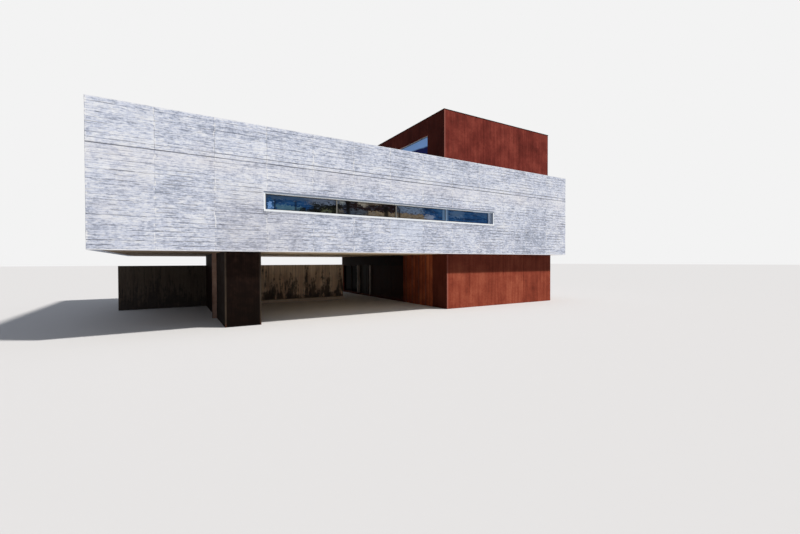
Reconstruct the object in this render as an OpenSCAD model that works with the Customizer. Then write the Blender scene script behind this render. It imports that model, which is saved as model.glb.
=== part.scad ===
// Beach house: a long box of board-marked concrete over an open undercroft, held up by a core
// and a store of weathering steel, with a smaller steel box on the roof.
// The long front faces -Y. The origin is at ground level below the middle of the concrete box.
// Places are given from the left end and back from the long front, in millimetres.

/* [Concrete box] */
// Formwork bay that sets out the length and the depth
bay = 1700; // [1650:10:1800]
// Bays along the long front
bays_long = 13; // [13:1:14]
// Bays from front to back
bays_deep = 8; // [8:1:9]
// Height of one formwork board
board_h = 150; // [145:1:160]
// Boards in the height of the box
boards_high = 30; // [29:1:32]
// Clear height below the box
undercroft_h = 2660; // [2500:20:2900]
// Thickness of the concrete walls
wall_t = 300; // [270:10:350]
// Thickness of the slab over the undercroft
soffit_t = 300; // [250:10:400]
// Thickness of the roof slab
roof_t = 250; // [200:10:300]
// Boards of parapet above the roof
parapet_boards = 7; // [6:1:8]

/* [Slot windows] */
// Left edge of the slot from the left end of the box
slot_x = 4980; // [4800:10:5400]
// Length of the slot
slot_l = 11330; // [10500:10:11600]
// Boards below the slot
sill_boards = 10; // [9:1:11]
// Boards in the height of the slot
slot_boards = 4.5; // [4:0.5:5.5]
// Thickness of the metal lining of the slot
lining_t = 60; // [40:5:80]
// Height of the window sill above the foot of the slot
sill_h = 25; // [20:5:40]
// How far the window sill hangs down over the concrete
sill_drop = 45; // [30:5:60]
// How far the window sill stands out of the front
sill_nose = 25; // [10:5:40]
// Depth of the reveal outside the frame
reveal_d = 185; // [150:5:190]
// Width of the mullions
slot_bar = 45; // [35:5:60]
// Width of the frame beside and above the panes, the part behind the lining included
slot_edge = 120; // [100:5:140]
// Width of the frame below the panes, the part behind the window sill included
slot_foot = 60; // [50:5:80]
// Panes in the slot
slot_panes = 4; // [3:1:6]

/* [Glazing] */
// Depth of every window frame
frame_d = 50; // [40:5:55]
// Thickness of the sealed glass
glass_t = 24; // [18:2:28]

/* [Roof box] */
// Distance from the roof box to the front of the house
upper_recess = 500; // [450:10:700]
// Bays in the depth of the roof box
upper_bays = 5; // [5:1:6]
// Height of the roof box above the roof, coping included
upper_h = 3580; // [3400:20:3800]
// Plain wall beside the glazing at both ends
upper_return = 1390; // [1300:10:1500]
// Plain wall above the glazing, coping included
upper_head_drop = 870; // [800:10:950]
// Thickness of its roof
upper_roof_t = 200; // [150:10:250]
// Height of the wall tops above that roof
upper_upstand = 120; // [80:10:200]
// Thickness of the coping
coping_t = 30; // [20:5:50]
// How far the coping stands out
coping_nose = 15; // [10:5:30]
// Width of the bars in the roof box glazing
upper_bar = 40; // [30:5:60]
// Panes in the roof box glazing
upper_panes = 2; // [1:1:4]
// Depth of the glazing behind the wall's face
upper_reveal = 80; // [60:5:100]

/* [Core] */
// Thickness of the steel-clad walls
steel_t = 200; // [190:10:240]
// Distance from the core to the right end of the box
core_end_gap = 950; // [850:10:1100]
// Width of the core and of the roof box
core_w = 7650; // [7500:10:7900]
// Distance from the core to the front of the house
core_recess = 300; // [250:10:380]
// Distance from the core to the back of the house
core_back_gap = 300; // [250:10:380]
// Plain plate at the front corner of the side wall, from the core's front
corner_w = 1140; // [1050:10:1250]
// Length of the ribbed panel
ribbed_w = 2900; // [2700:10:3000]
// Planks in the ribbed panel
planks = 9; // [7:1:11]
// Groove between two planks
plank_gap = 22; // [16:1:30]
// Depth of the grooves
groove_d = 35; // [20:1:45]
// How far every second plank lies back
plank_step = 16; // [8:1:20]
// Length of the black panels
dark_w = 4100; // [3900:10:4300]
// Black panels in that length
dark_panels = 3; // [2:1:4]
// Joint between black panels
dark_gap = 12; // [8:1:20]
// Thickness of the black panels
dark_t = 60; // [50:5:80]
// Depth of the black panels behind the wall's face
dark_reveal = 40; // [30:5:50]

/* [Entrance] */
// Height of the core's steel sill above the ground
threshold_h = 80; // [60:5:100]
// Height of the door head above the ground
head_h = 2060; // [2020:10:2150]
// Thickness of the two pale fins
fin_t = 60; // [50:5:80]
// How far the fins stand out of the wall
fin_nose = 60; // [40:5:80]
// Width of the fixed panel beside the door
side_w = 560; // [500:10:600]
// Width of the post that the door shuts against
jamb_t = 50; // [40:5:60]
// Width of the door leaf
leaf_w = 1240; // [1150:10:1300]
// Thickness of the door leaf
leaf_t = 50; // [45:1:56]
// Depth of the leaf's face behind the wall's face
leaf_reveal = 130; // [120:5:140]
// Running gap at the leaf's foot, head and shutting edge
leaf_gap = 6; // [5:1:8]
// Running gap at the leaf's pivot edge
heel_gap = 10; // [10:1:14]
// Boards in the face of the leaf
leaf_boards = 8; // [6:1:10]
// Width of the grooves between those boards
leaf_groove_w = 8; // [6:1:10]
// Depth of those grooves
leaf_groove_d = 6; // [4:1:8]
// Distance from the pivot to the leaf's edge
pivot_inset = 70; // [65:1:75]
// Radius of the pivot pins
pivot_r = 9; // [7:1:11]
// Length of the pins inside the leaf
pivot_l = 45; // [35:5:60]
// Radius of the washer at each pin
washer_r = 22; // [18:1:24]
// Clearance round pins and washers
fit = 0.3; // [0.2:0.05:0.5]
// Distance from the pull bar to the leaf's shutting edge
pull_inset = 110; // [90:5:140]
// Radius of the pull bar
pull_r = 18; // [14:1:22]
// Distance from the leaf's face to the bar's middle
pull_out = 62; // [55:1:75]
// Distance from the leaf's foot and head to the ends of the bar
pull_end = 60; // [40:5:100]
// Distance from the bar's ends to its brackets
bracket_inset = 140; // [100:10:200]
// Radius of the brackets
bracket_r = 10; // [8:1:12]
// Width of the bars round the glass beside the door
light_bar = 45; // [40:5:60]
// Panes beside the door
light_panes = 2; // [1:1:3]
// Thickness of the core's floor above the ground
floor_t = 80; // [60:5:80]

/* [Store, column and low wall] */
// Left side of the store from the left end of the box
store_x = 3720; // [3500:20:3900]
// Width of the store
store_w = 1210; // [1100:10:1300]
// Thickness of the store's walls
store_t = 120; // [100:10:150]
// Side of the square column beside the store
column_w = 160; // [140:10:200]
// Distance from the column to the store's front
column_y = 2700; // [2400:50:3200]
// Distance from the low wall to the front of the house
low_y = 8100; // [7900:50:8200]
// Thickness of the low wall
low_t = 250; // [200:10:300]
// Height of the low wall
low_h = 2120; // [1900:10:2200]
// Length of the low wall
low_l = 11400; // [11000:50:11600]
// Height of the kerb
kerb_h = 150; // [120:10:180]
// Width of the kerb
kerb_w = 300; // [250:10:350]

/* [Hidden] */

concrete = "gainsboro";
pale_concrete = "tan";
steel_rust = "sienna";
steel_dark = "saddlebrown";
black_panel = "dimgray";
light_metal = "silver";
pane = "lightsteelblue";

cut = 1; // how far a cut runs past the face it opens

// Levels
band_l = bay * bays_long;
band_d = bay * bays_deep;
band_top = undercroft_h + board_h * boards_high;
deck_z = band_top - board_h * parapet_boards;
slot_z0 = undercroft_h + board_h * sill_boards;
slot_z1 = slot_z0 + board_h * slot_boards;
slot_x1 = slot_x + slot_l;
upper_top = deck_z + upper_h;
upper_wall_top = upper_top - coping_t;
upper_head = upper_top - upper_head_drop;

// Plan of the core and the roof box
core_x1 = band_l - core_end_gap;
core_x0 = core_x1 - core_w;
core_y0 = core_recess;
core_y1 = band_d - core_back_gap;
upper_y0 = upper_recess;
upper_y1 = upper_y0 + bay * upper_bays;

// Places along the core's side wall
corner_y1 = core_y0 + corner_w;
ribbed_y1 = corner_y1 + ribbed_w;
dark_y1 = ribbed_y1 + dark_w;
side_y0 = dark_y1 + fin_t;
side_y1 = side_y0 + side_w;
leaf_y0 = side_y1 + jamb_t + leaf_gap;
leaf_y1 = leaf_y0 + leaf_w;
fin_y = leaf_y1 + heel_gap;
light_y0 = fin_y + fin_t;
light_y1 = core_y1 - steel_t;

// Door
leaf_x0 = core_x0 + leaf_reveal;
leaf_z0 = threshold_h + leaf_gap;
leaf_z1 = head_h - leaf_gap;
pivot_x = leaf_x0 + leaf_t / 2;
pivot_y = leaf_y1 - pivot_inset;

// Store
store_x1 = store_x + store_w;
store_y0 = core_recess;

// A block between two corners
module block(from, to) {
    translate(from - [band_l / 2, band_d / 2, 0]) cube(to - from);
}

// Moves what is drawn at the pivot's own place to its place in the house
module at_pivot(z) {
    translate([pivot_x - band_l / 2, pivot_y - band_d / 2, z]) children();
}

// The back repeats the front
module at_back() {
    mirror([0, 1, 0]) children();
}

// Concrete wall with the long slot cut through it
module slotted_wall() {
    color(concrete)
    difference() {
        block([0, 0, undercroft_h], [band_l, wall_t, band_top]);
        block([slot_x, -cut, slot_z0], [slot_x1, wall_t + cut, slot_z1]);
    }
}

// Metal lining of the slot, with a sill that stands out and hangs down over the concrete
module slot_lining() {
    color(light_metal)
    union() {
        difference() {
            block([slot_x, 0, slot_z0], [slot_x1, reveal_d, slot_z1]);
            block([slot_x + lining_t, -cut, slot_z0 + sill_h],
                  [slot_x1 - lining_t, reveal_d + cut, slot_z1 - lining_t]);
        }
        block([slot_x, -sill_nose, slot_z0 - sill_drop], [slot_x1, 0, slot_z0 + sill_h]);
    }
}

// Frame round an opening, with mullions between its panes, that runs either in X or in Y
module barred_frame(x0, x1, y0, y1, z0, z1, edge, foot, bar, panes, runs_in_y) {
    run = runs_in_y ? y1 - y0 : x1 - x0;
    pane_w = (run - 2 * edge - bar * (panes - 1)) / panes;
    difference() {
        block([x0, y0, z0], [x1, y1, z1]);
        for (i = [0:panes - 1]) {
            start = edge + i * (pane_w + bar);
            if (runs_in_y)
                block([x0 - cut, y0 + start, z0 + foot], [x1 + cut, y0 + start + pane_w, z1 - edge]);
            else
                block([x0 + start, y0 - cut, z0 + foot], [x0 + start + pane_w, y1 + cut, z1 - edge]);
        }
    }
}

module slot_frame() {
    color(light_metal)
    barred_frame(slot_x, slot_x1, reveal_d, reveal_d + frame_d, slot_z0, slot_z1,
                 slot_edge, slot_foot, slot_bar, slot_panes, false);
}

// One sheet of glass behind the bars
module slot_glass() {
    y0 = reveal_d + frame_d;
    color(pane)
    block([slot_x, y0, slot_z0], [slot_x1, y0 + glass_t, slot_z1]);
}

module end_wall(x0) {
    color(concrete)
    block([x0, wall_t, undercroft_h], [x0 + wall_t, band_d - wall_t, band_top]);
}

// Slab between the four concrete walls
module slab(z0, z1) {
    color(concrete)
    block([wall_t, wall_t, z0], [band_l - wall_t, band_d - wall_t, z1]);
}

module front_wall() { slotted_wall(); }
module back_wall() { at_back() slotted_wall(); }
module left_end_wall() { end_wall(0); }
module right_end_wall() { end_wall(band_l - wall_t); }
module soffit_slab() { slab(undercroft_h, undercroft_h + soffit_t); }
module roof_slab() { slab(deck_z - roof_t, deck_z); }
module front_window_lining() { slot_lining(); }
module front_window_frame() { slot_frame(); }
module front_window_glass() { slot_glass(); }
module back_window_lining() { at_back() slot_lining(); }
module back_window_frame() { at_back() slot_frame(); }
module back_window_glass() { at_back() slot_glass(); }

// Wall of the roof box that runs along the house
module upper_long_wall(y0) {
    color(steel_rust)
    block([core_x0, y0, deck_z], [core_x1, y0 + steel_t, upper_wall_top]);
}

module upper_front_wall() { upper_long_wall(upper_y0); }
module upper_back_wall() { upper_long_wall(upper_y1 - steel_t); }

module upper_right_wall() {
    color(steel_rust)
    block([core_x1 - steel_t, upper_y0 + steel_t, deck_z],
          [core_x1, upper_y1 - steel_t, upper_wall_top]);
}

// Plain pieces of wall at both ends of the roof box glazing
module upper_left_returns() {
    color(steel_rust) {
        block([core_x0, upper_y0 + steel_t, deck_z],
              [core_x0 + steel_t, upper_y0 + upper_return, upper_wall_top]);
        block([core_x0, upper_y1 - upper_return, deck_z],
              [core_x0 + steel_t, upper_y1 - steel_t, upper_wall_top]);
    }
}

module upper_left_lintel() {
    color(steel_rust)
    block([core_x0, upper_y0 + upper_return, upper_head],
          [core_x0 + steel_t, upper_y1 - upper_return, upper_wall_top]);
}

module upper_roof() {
    z1 = upper_wall_top - upper_upstand;
    color(steel_dark)
    block([core_x0 + steel_t, upper_y0 + steel_t, z1 - upper_roof_t],
          [core_x1 - steel_t, upper_y1 - steel_t, z1]);
}

// Folded metal strips along the four wall tops, with the short ones between the long ones
module upper_coping() {
    y_front = upper_y0 + steel_t;
    y_back = upper_y1 - steel_t;
    color(steel_dark) {
        block([core_x0 - coping_nose, upper_y0 - coping_nose, upper_wall_top],
              [core_x1 + coping_nose, y_front, upper_top]);
        block([core_x0 - coping_nose, y_back, upper_wall_top],
              [core_x1 + coping_nose, upper_y1 + coping_nose, upper_top]);
        block([core_x0 - coping_nose, y_front + fit, upper_wall_top],
              [core_x0 + steel_t, y_back - fit, upper_top]);
        block([core_x1 - steel_t, y_front + fit, upper_wall_top],
              [core_x1 + coping_nose, y_back - fit, upper_top]);
    }
}

module upper_window_frame() {
    x0 = core_x0 + upper_reveal;
    color(light_metal)
    barred_frame(x0, x0 + frame_d, upper_y0 + upper_return, upper_y1 - upper_return,
                 deck_z, upper_head, upper_bar, upper_bar, upper_bar, upper_panes, true);
}

module upper_window_glass() {
    x0 = core_x0 + upper_reveal + frame_d;
    color(pane)
    block([x0, upper_y0 + upper_return, deck_z],
          [x0 + glass_t, upper_y1 - upper_return, upper_head]);
}

// Wall of the core that runs along the house
module core_long_wall(y0) {
    color(steel_rust)
    block([core_x0, y0, 0], [core_x1, y0 + steel_t, undercroft_h]);
}

module core_front_wall() { core_long_wall(core_y0); }
module core_back_wall() { core_long_wall(core_y1 - steel_t); }

module core_right_wall() {
    color(steel_rust)
    block([core_x1 - steel_t, core_y0 + steel_t, 0], [core_x1, core_y1 - steel_t, undercroft_h]);
}

module core_corner_plate() {
    color(steel_rust)
    block([core_x0, core_y0 + steel_t, 0], [core_x0 + steel_t, corner_y1, undercroft_h]);
}

// Outline of one plank from its groove to the next, with every second plank lying back
function plank_outline(i, pitch) =
    let (face = i % 2 == 0 ? 0 : plank_step, y = i * pitch)
    [[groove_d, y], [groove_d, y + plank_gap / 2], [face, y + plank_gap / 2],
     [face, y + pitch - plank_gap / 2], [groove_d, y + pitch - plank_gap / 2]];

// Standing steel planks with open grooves on a closed wall
module core_ribbed_panel() {
    pitch = ribbed_w / planks;
    outline = [for (i = [0:planks - 1]) each plank_outline(i, pitch)];
    color(steel_dark)
    translate([core_x0 - band_l / 2, corner_y1 - band_d / 2, 0])
    linear_extrude(undercroft_h)
    polygon(concat(outline, [[groove_d, ribbed_w], [steel_t, ribbed_w], [steel_t, 0]]));
}

// Panels between the sill and the lintel, with half a joint at both ends of the row
module core_dark_panels() {
    pitch = dark_w / dark_panels;
    color(black_panel)
    for (i = [0:dark_panels - 1])
        block([core_x0 + dark_reveal, ribbed_y1 + i * pitch + dark_gap / 2, threshold_h],
              [core_x0 + dark_reveal + dark_t, ribbed_y1 + (i + 1) * pitch - dark_gap / 2, head_h]);
}

// Beam of wall over the black panels and the entrance
module core_lintel() {
    color(steel_rust)
    block([core_x0, ribbed_y1, head_h], [core_x0 + steel_t, core_y1 - steel_t, undercroft_h]);
}

module core_sill() {
    color(steel_rust)
    block([core_x0, ribbed_y1, 0], [core_x0 + steel_t, core_y1 - steel_t, threshold_h]);
}

module core_floor() {
    color(pale_concrete)
    block([core_x0 + steel_t, core_y0 + steel_t, 0],
          [core_x1 - steel_t, core_y1 - steel_t, floor_t]);
}

// Pale fins on both sides of the entrance
module entry_fins() {
    color(light_metal)
    for (y0 = [dark_y1, fin_y])
        block([core_x0 - fin_nose, y0, threshold_h], [core_x0 + steel_t, y0 + fin_t, head_h]);
}

module entry_side_panel() {
    color(black_panel)
    block([leaf_x0, side_y0, threshold_h], [leaf_x0 + leaf_t, side_y1, head_h]);
}

module entry_jamb() {
    color(light_metal)
    block([leaf_x0, side_y1, threshold_h], [core_x0 + steel_t, side_y1 + jamb_t, head_h]);
}

module entry_window_frame() {
    color(light_metal)
    barred_frame(leaf_x0 - frame_d, leaf_x0, light_y0, light_y1, threshold_h, head_h,
                 light_bar, light_bar, light_bar, light_panes, true);
}

module entry_window_glass() {
    color(pane)
    block([leaf_x0, light_y0, threshold_h], [leaf_x0 + glass_t, light_y1, head_h]);
}

// Pins that stand on the sill and hang from the lintel, each with a washer under the leaf
module door_pivots() {
    washer_h = leaf_gap - fit;
    color(light_metal) {
        at_pivot(threshold_h) {
            cylinder(h = washer_h, r = washer_r, $fn = 48);
            cylinder(h = leaf_gap + pivot_l, r = pivot_r, $fn = 48);
        }
        at_pivot(head_h) mirror([0, 0, 1]) {
            cylinder(h = washer_h, r = washer_r, $fn = 48);
            cylinder(h = leaf_gap + pivot_l, r = pivot_r, $fn = 48);
        }
    }
}

// Leaf with boarded face and a bore at the head and the foot
module door_leaf() {
    board_w = leaf_w / leaf_boards;
    bore_l = pivot_l + fit;
    color(black_panel)
    difference() {
        block([leaf_x0, leaf_y0, leaf_z0], [leaf_x0 + leaf_t, leaf_y1, leaf_z1]);
        for (i = [1:leaf_boards - 1])
            block([leaf_x0 - cut, leaf_y0 + i * board_w - leaf_groove_w / 2, leaf_z0 - cut],
                  [leaf_x0 + leaf_groove_d, leaf_y0 + i * board_w + leaf_groove_w / 2, leaf_z1 + cut]);
        at_pivot(leaf_z0 - cut) cylinder(h = bore_l + cut, r = pivot_r + fit, $fn = 48);
        at_pivot(leaf_z1 - bore_l) cylinder(h = bore_l + cut, r = pivot_r + fit, $fn = 48);
    }
}

// Full-height bar on two brackets
module door_pull() {
    z0 = leaf_z0 + pull_end;
    z1 = leaf_z1 - pull_end;
    color(light_metal)
    translate([leaf_x0 - pull_out - band_l / 2, leaf_y0 + pull_inset - band_d / 2, 0]) {
        translate([0, 0, z0]) cylinder(h = z1 - z0, r = pull_r, $fn = 48);
        for (z = [z0 + bracket_inset, z1 - bracket_inset])
            translate([0, 0, z]) rotate([0, 90, 0]) cylinder(h = pull_out, r = bracket_r, $fn = 32);
    }
}

module store_front_wall() {
    color(steel_dark)
    block([store_x, store_y0, 0], [store_x1, store_y0 + store_t, undercroft_h]);
}

module store_back_wall() {
    color(steel_dark)
    block([store_x, low_y - store_t, 0], [store_x1, low_y, undercroft_h]);
}

module store_side_wall(x0) {
    color(steel_dark)
    block([x0, store_y0 + store_t, 0], [x0 + store_t, low_y - store_t, undercroft_h]);
}

module store_left_wall() { store_side_wall(store_x); }
module store_right_wall() { store_side_wall(store_x1 - store_t); }

module side_column() {
    y0 = store_y0 + column_y;
    color(steel_rust)
    block([store_x - column_w, y0, 0], [store_x, y0 + column_w, undercroft_h]);
}

module low_wall() {
    color(pale_concrete)
    block([0, low_y, 0], [low_l, low_y + low_t, low_h]);
}

module kerb() {
    color(pale_concrete)
    block([store_x1, low_y - kerb_w, 0], [low_l, low_y, kerb_h]);
}

front_wall();
back_wall();
left_end_wall();
right_end_wall();
soffit_slab();
roof_slab();
front_window_lining();
front_window_frame();
front_window_glass();
back_window_lining();
back_window_frame();
back_window_glass();
upper_front_wall();
upper_back_wall();
upper_right_wall();
upper_left_returns();
upper_left_lintel();
upper_roof();
upper_coping();
upper_window_frame();
upper_window_glass();
core_front_wall();
core_back_wall();
core_right_wall();
core_corner_plate();
core_ribbed_panel();
core_dark_panels();
core_lintel();
core_sill();
core_floor();
entry_fins();
entry_side_panel();
entry_jamb();
entry_window_frame();
entry_window_glass();
door_pivots();
door_leaf();
door_pull();
store_front_wall();
store_left_wall();
store_right_wall();
store_back_wall();
side_column();
low_wall();
kerb();
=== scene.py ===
"""Finishes, board relief, steel plates, roof paving and light for a beach house.

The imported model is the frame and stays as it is. This file gives each of its nodes a finish and
adds what is too fine for it: the relief that sawn boards leave on concrete, the separate plates
of the steel walls, the paving of the roofs and the small trims round glass and corners.
All lengths are metres in the frame of the model: Z up, the long front facing -Y.
"""

import logging
from abc import ABC, abstractmethod
from collections.abc import Iterable, Iterator, Sequence
from dataclasses import dataclass, field
from enum import Enum
from math import radians

import bpy
from mathutils import Euler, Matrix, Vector


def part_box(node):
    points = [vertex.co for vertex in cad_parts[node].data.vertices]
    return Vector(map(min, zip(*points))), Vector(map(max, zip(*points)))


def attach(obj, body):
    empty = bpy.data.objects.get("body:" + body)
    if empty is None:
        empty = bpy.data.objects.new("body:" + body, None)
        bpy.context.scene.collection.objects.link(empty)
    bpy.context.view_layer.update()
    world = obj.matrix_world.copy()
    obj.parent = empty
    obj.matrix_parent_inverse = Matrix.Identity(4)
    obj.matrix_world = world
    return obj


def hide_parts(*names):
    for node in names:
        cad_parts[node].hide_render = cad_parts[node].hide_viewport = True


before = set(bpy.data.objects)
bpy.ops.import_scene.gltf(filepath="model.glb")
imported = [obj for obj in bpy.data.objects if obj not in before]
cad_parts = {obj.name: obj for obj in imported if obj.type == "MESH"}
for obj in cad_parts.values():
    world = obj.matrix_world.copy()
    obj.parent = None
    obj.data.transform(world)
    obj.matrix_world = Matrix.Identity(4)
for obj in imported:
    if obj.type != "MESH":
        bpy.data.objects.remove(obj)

LOG = logging.getLogger("beach_house")

Socket = bpy.types.NodeSocket
Value = Socket | float | int | Sequence[float]
Shades = tuple[str, str, str]

# The property that the word after a colon sets, the first of these that a node has
CHOICES = ("operation", "interpolation_type", "data_type", "mode", "distribute_method")


class Slot(Enum):
    """Finish of a surface, by the name of its material slot in the model."""

    BOARD_MARKED = "board_marked_concrete"
    SOFFIT = "soffit_concrete"
    STAINED = "weathered_concrete"
    DECK = "roof_deck"
    SCREED = "floor_screed"
    RUST = "weathering_steel"
    DARK_STEEL = "dark_steel"
    BLACK = "black_panel"
    BOARDS = "door_boards"
    METAL = "pale_metal"
    GLASS = "window_glass"


class Side(Enum):
    """Face of a box, by the direction in which it looks."""

    FRONT = (0, -1, 0)
    BACK = (0, 1, 0)
    LEFT = (-1, 0, 0)
    RIGHT = (1, 0, 0)
    TOP = (0, 0, 1)

    def point(self, plane: float, along: float, up: float) -> Vector:
        """Turns a place along and up a face, which lies at the plane, into a place in the house."""
        axis = [abs(part) for part in self.value].index(1)
        return Vector([(plane, along, up), (along, plane, up), (along, up, plane)][axis])


def srgb(code: str) -> tuple[float, float, float, float]:
    """Turns an sRGB colour into a linear one.

    Args:
        code: A hash and six hex digits.

    Returns:
        Linear red, green and blue, and an alpha of 1.
    """
    parts = [int(code[i:i + 2], 16) / 255 for i in (1, 3, 5)]
    red, green, blue = (p / 12.92 if p <= 0.04045 else ((p + 0.055) / 1.055) ** 2.4 for p in parts)
    return red, green, blue, 1.0


class Graph:
    """A node tree and what adds to it."""

    def __init__(self, tree: bpy.types.NodeTree) -> None:
        """Takes a tree and leaves out the nodes that Blender puts there."""
        self.tree = tree
        tree.nodes.clear()

    def add(self, kind: str, inputs: Sequence | dict = (), out: int = 0,
            **settings: object) -> Socket:
        """Adds a node with its settings and links.

        Args:
            kind: Type of the node, where a shader node's goes without its first words, and after
                a colon its operation or the like.
            inputs: Values or sockets by place, or in a dict by name or number. A list of sockets
                goes to an input that takes several.
            out: Number of the output that is handed back.
            **settings: Properties of the node.

        Returns:
            One output of the new node, or its first input if it has no output.
        """
        kind, _, choice = kind.partition(":")
        node = self.tree.nodes.new(kind if "Node" in kind else "ShaderNode" + kind)
        if choice:
            settings[next(key for key in CHOICES if hasattr(node, key))] = choice
        for key, value in settings.items():
            setattr(node, key, value)
        for key, value in inputs.items() if isinstance(inputs, dict) else enumerate(inputs):
            sources = value if isinstance(value, list) else [value]
            if isinstance(sources[0], Socket):
                for source in sources:
                    self.tree.links.new(source, node.inputs[key])
            else:
                node.inputs[key].default_value = value
        return node.outputs[out] if node.outputs else node.inputs[0]


class Canvas(Graph):
    """Node tree of one material, with the coordinates and the patterns that finishes share."""

    def __init__(self, tree: bpy.types.NodeTree) -> None:
        """Reads Object coordinates and the direction of the face.

        Args:
            tree: Empty tree of a material.
        """
        super().__init__(tree)
        self.point = self.add("TexCoord", out=3)
        self.x, self.y, self.z = self.add("SeparateXYZ", [self.point]).node.outputs
        # x + y runs on round the corners of the house, so one pattern fits all four sides
        self.run = self.add("Math:ADD", [self.x, self.y])
        facing = self.add("SeparateXYZ", [self.add("NewGeometry", out=1)]).node.outputs
        self.faces_x, self.faces_y, self.faces_z = facing
        self.colour: Value = (0.0, 0.0, 0.0, 1.0)

    def streaks(self, along: Socket, across: Socket, length: float, width: float,
                seed: Value = 0.0, detail: float = 4.0) -> Socket:
        """Noise drawn out along one direction, such as grain or runs of water.

        Args:
            along: Coordinate along the streaks.
            across: Coordinate across them.
            length: Rough length of a streak, in metres.
            width: Rough width of a streak, in metres.
            seed: Third coordinate, which can differ from board to board.
            detail: Octaves of finer noise.

        Returns:
            A level from 0 to 1 that averages 0.5.
        """
        a = self.add("Math:MULTIPLY", [along, 1 / length])
        b = self.add("Math:MULTIPLY", [across, 1 / width])
        place = self.add("CombineXYZ", [a, b, seed])
        return self.add("TexNoise", {"Vector": place, "Scale": 1.0, "Detail": detail,
                                     "Roughness": 0.55})

    def mottle(self, size: float, seed: float = 0.0, detail: float = 3.0) -> Socket:
        """Noise in patches of a size in metres, as a level from 0 to 1 that averages 0.5."""
        place = self.add("VectorMath:ADD", [self.point, (seed, seed * 0.7, seed * 1.3)])
        return self.add("TexNoise", {"Vector": place, "Scale": 1 / size, "Detail": detail,
                                     "Roughness": 0.6})

    def cells(self, value: Socket, pitch: float, start: float) -> tuple[Socket, Socket]:
        """Counts equal steps along a coordinate.

        Args:
            value: The coordinate.
            pitch: Length of a step, in metres.
            start: Where the first step begins.

        Returns:
            The number of the step, and the distance to its nearer edge in metres.
        """
        steps = self.add("Math:DIVIDE", [self.add("Math:SUBTRACT", [value, start]), pitch])
        edge = self.add("Math:MULTIPLY", [self.add("Math:PINGPONG", [steps, 0.5]), pitch])
        return self.add("Math:FLOOR", [steps]), edge

    def dice(self, a: Value, b: Value = 0.0, seed: float = 0.0) -> Socket:
        """A random level from 0 to 1 that stays the same all over one cell."""
        return self.add("TexWhiteNoise", {"Vector": self.add("CombineXYZ", [a, b, seed])})

    def near(self, value: Socket, at: float, half: float, fade: float) -> Socket:
        """A level of 1 within half a width of a place, which then fades over some metres."""
        far = self.add("Math:ABSOLUTE", [self.add("Math:SUBTRACT", [value, at])])
        return self.add("MapRange:SMOOTHSTEP", [far, half, half + fade, 1.0, 0.0])

    def weigh(self, start: float, *terms: tuple[Socket, float]) -> Socket:
        """Adds up patterns, each pulled to an average of 0 and times its own weight.

        Args:
            start: Level without any pattern.
            *terms: Pairs of a level that averages 0.5 and a weight.

        Returns:
            The sum.
        """
        total: Value = start - sum(weight for _, weight in terms) / 2
        for level, weight in terms:
            total = self.add("Math:MULTIPLY_ADD", [level, weight, total])
        return total

    def tones(self, level: Socket, shades: Shades) -> None:
        """Lays three colours over the surface, with the middle one where a level is 0.5.

        Args:
            level: Level from 0 to 1.
            shades: The low, the middle and the high colour.
        """
        self.colour, *others = map(srgb, shades)
        for start, colour in zip((0.0, 0.5), others):
            share = self.add("MapRange", [level, start, start + 0.5])
            self.colour = self.add("Mix:RGBA", {0: share, 6: self.colour, 7: colour}, 2)

    def stain(self, mask: Socket | Sequence[Value], strength: float, code: str) -> None:
        """Lays another colour over the surface where a mask is high.

        Args:
            mask: Level from 0 to 1, or several that are multiplied.
            strength: Share of the new colour where the mask is 1.
            code: The new colour as sRGB hex.
        """
        product, *factors = [mask] if isinstance(mask, Socket) else mask
        for factor in factors:
            product = self.add("Math:MULTIPLY", [product, factor])
        share = self.add("Math:MULTIPLY", [product, strength], use_clamp=True)
        self.colour = self.add("Mix:RGBA", {0: share, 6: self.colour, 7: srgb(code)}, 2)

    def surface(self, roughness: float | tuple[Socket, float, float], height: Socket,
                depth: float, strength: float = 0.6, **constants: float) -> None:
        """Ends the tree in one surface shader.

        Args:
            roughness: One level, or a pattern and the levels at its low and high parts.
            height: Relief from 0 to 1.
            depth: Depth of the relief, in metres.
            strength: Share of the relief that shows.
            **constants: Other inputs of the shader that are the same all over.
        """
        if isinstance(roughness, tuple):
            pattern, *ends = roughness
            roughness = self.add("MapRange", [pattern, 0.3, 0.7, *ends])
        bump = self.add("Bump", {"Height": height, "Distance": depth, "Strength": strength})
        inputs = {"Base Color": self.colour, "Roughness": roughness, "Normal": bump}
        for key, value in constants.items():
            inputs[key.replace("_", " ").title().replace("Ior", "IOR")] = value
        self.add("OutputMaterial", [self.add("BsdfPrincipled", inputs)])


@dataclass(frozen=True)
class Finish(ABC):
    """How one material of the house is made and what that gives the eye."""

    name: str

    @abstractmethod
    def paint(self, c: Canvas) -> None:
        """Fills the material's tree."""

    def build(self) -> bpy.types.Material:
        """Makes the Blender material.

        Returns:
            The material, with its tree filled.
        """
        material = bpy.data.materials.new(self.name)
        material.use_nodes = True
        self.paint(Canvas(material.node_tree))
        return material


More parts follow.
